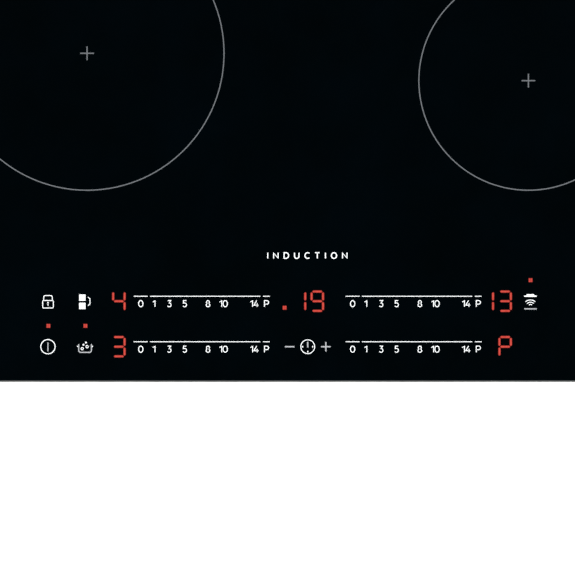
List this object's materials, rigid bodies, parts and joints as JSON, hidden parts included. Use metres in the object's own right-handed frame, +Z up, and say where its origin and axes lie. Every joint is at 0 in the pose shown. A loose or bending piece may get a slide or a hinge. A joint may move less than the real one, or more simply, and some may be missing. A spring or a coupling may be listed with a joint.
{
  "type": "induction cooktop",
  "caption": "Built-in electric induction cooktop: flat black glass top with a touch control panel, over a shallow sheet-metal case that drops into a worktop cut-out and clamps from below.",
  "frame": {"origin": "middle of the glass outline, on the plane of the case's underside", "axes": "+X to the user's right, +Y towards the rear, +Z up"},
  "size_m": [0.59, 0.52, 0.05],
  "materials": {
    "aluminium_extrusion": "extruded finish",
    "aluminium_sheet": "mill-finish sheet",
    "black_adhesive": "cured silicone bead",
    "black_glass_ceramic": "polished black glass-ceramic",
    "black_plastic": "moulded black plastic",
    "capacitor_sleeve": "shrink sleeve",
    "clear_foil": "clear foil or glass tube",
    "conductive_foam": "conductive foam",
    "copper_litz": "enamelled copper strands",
    "copper_wire": "enamelled copper wire",
    "display_red": "display face with lit segments",
    "ferrite": "sintered ferrite",
    "galvanised_steel": "hot-dip galvanised sheet with a fine spangle",
    "green_board": "solder-masked circuit board",
    "grey_foam_seal": "closed-cell foam tape",
    "grey_plastic": "glass-filled plastic",
    "lamp_red": "red lamp chip",
    "mica_paper": "mica paper",
    "soft_rubber": "soft rubber",
    "spring_steel": "bare spring steel",
    "white_plastic": "glass-filled white plastic",
    "wire_insulation": "flexible insulation",
    "zinc_plated_steel": "bright zinc plate"
  },
  "bodies": {
    "housing": {"cable_inlet": "soft_rubber", "can_capacitors": "capacitor_sleeve", "case_pan": "galvanised_steel", "case_screws": "zinc_plated_steel", "choke_cores": "ferrite", "choke_windings": "copper_wire", "clamp_brackets": "galvanised_steel", "coil_ferrites": "ferrite", "coil_formers": "grey_plastic", "coil_insulation": "mica_paper", "coil_leads": "copper_litz", "coil_shields": "aluminium_sheet", "coil_springs": "spring_steel", "coil_trays": "aluminium_sheet", "coil_windings": "copper_litz", "control_board": "green_board", "control_carrier": "grey_plastic", "fan_housings": "black_plastic", "fan_lids": "black_plastic", "fan_motors": "grey_plastic", "film_capacitors": "grey_plastic", "filter_board": "green_board", "fuses": "clear_foil", "glass_adhesive": "black_adhesive", "glass_frame": "galvanised_steel", "glass_seal": "grey_foam_seal", "glass_top": "black_glass_ceramic", "heatsinks": "aluminium_extrusion", "indicator_lamps": "lamp_red", "lamp_guides": "white_plastic", "led_displays": "display_red", "mains_wires": "wire_insulation", "module_trays": "white_plastic", "power_boards": "green_board", "power_transistors": "black_plastic", "relays": "white_plastic", "ribbon_cable": "wire_insulation", "temperature_sensors": "white_plastic", "terminal_block": "white_plastic", "terminal_box": "black_plastic", "terminal_hinge_pin": "spring_steel", "terminal_screws": "zinc_plated_steel", "touch_foil": "clear_foil", "touch_pads": "conductive_foam", "transistor_clips": "spring_steel", "tray_posts": "grey_plastic", "tray_screws": "zinc_plated_steel"},
    "clamp_screw_front_left": {"clamp_screw_front_left": "zinc_plated_steel"},
    "clamp_arm_front_left": {"clamp_arm_front_left": "zinc_plated_steel"},
    "clamp_screw_front_right": {"clamp_screw_front_right": "zinc_plated_steel"},
    "clamp_arm_front_right": {"clamp_arm_front_right": "zinc_plated_steel"},
    "clamp_screw_rear_left": {"clamp_screw_rear_left": "zinc_plated_steel"},
    "clamp_arm_rear_left": {"clamp_arm_rear_left": "zinc_plated_steel"},
    "clamp_screw_rear_right": {"clamp_screw_rear_right": "zinc_plated_steel"},
    "clamp_arm_rear_right": {"clamp_arm_rear_right": "zinc_plated_steel"},
    "fan_left": {"fan_impeller_left": "black_plastic", "fan_shaft_left": "spring_steel"},
    "fan_right": {"fan_impeller_right": "black_plastic", "fan_shaft_right": "spring_steel"},
    "terminal_cover": {"terminal_cover": "black_plastic"}
  },
  "joints": [
    {"name": "clamp_swing_front_left", "type": "hinge", "parent": "housing", "child": "clamp_screw_front_left", "pos_m": [-0.272, -0.164, 0], "axis": [0, 0, 1], "range_deg": [0, 90]},
    {"name": "clamp_lift_front_left", "type": "slide", "parent": "clamp_screw_front_left", "child": "clamp_arm_front_left", "axis": [0, 0, 1], "range_m": [0, 0.015]},
    {"name": "clamp_swing_front_right", "type": "hinge", "parent": "housing", "child": "clamp_screw_front_right", "pos_m": [0.272, -0.164, 0], "axis": [0, 0, -1], "range_deg": [0, 90]},
    {"name": "clamp_lift_front_right", "type": "slide", "parent": "clamp_screw_front_right", "child": "clamp_arm_front_right", "axis": [0, 0, 1], "range_m": [0, 0.015]},
    {"name": "clamp_swing_rear_left", "type": "hinge", "parent": "housing", "child": "clamp_screw_rear_left", "pos_m": [-0.272, 0.116, 0], "axis": [0, 0, 1], "range_deg": [0, 90]},
    {"name": "clamp_lift_rear_left", "type": "slide", "parent": "clamp_screw_rear_left", "child": "clamp_arm_rear_left", "axis": [0, 0, 1], "range_m": [0, 0.015]},
    {"name": "clamp_swing_rear_right", "type": "hinge", "parent": "housing", "child": "clamp_screw_rear_right", "pos_m": [0.272, 0.116, 0], "axis": [0, 0, -1], "range_deg": [0, 90]},
    {"name": "clamp_lift_rear_right", "type": "slide", "parent": "clamp_screw_rear_right", "child": "clamp_arm_rear_right", "axis": [0, 0, 1], "range_m": [0, 0.015]},
    {"name": "fan_spin_left", "type": "hinge", "parent": "housing", "child": "fan_left", "pos_m": [-0.1, 0.186, 0.012], "axis": [0, 0, 1], "continuous": true},
    {"name": "fan_spin_right", "type": "hinge", "parent": "housing", "child": "fan_right", "pos_m": [0.085, 0.186, 0.012], "axis": [0, 0, 1], "continuous": true},
    {"name": "terminal_cover_hinge", "type": "hinge", "parent": "housing", "child": "terminal_cover", "pos_m": [0.1541, 0.2344, 0.0147], "axis": [0, 0, 1], "range_deg": [0, 100]}
  ]
}
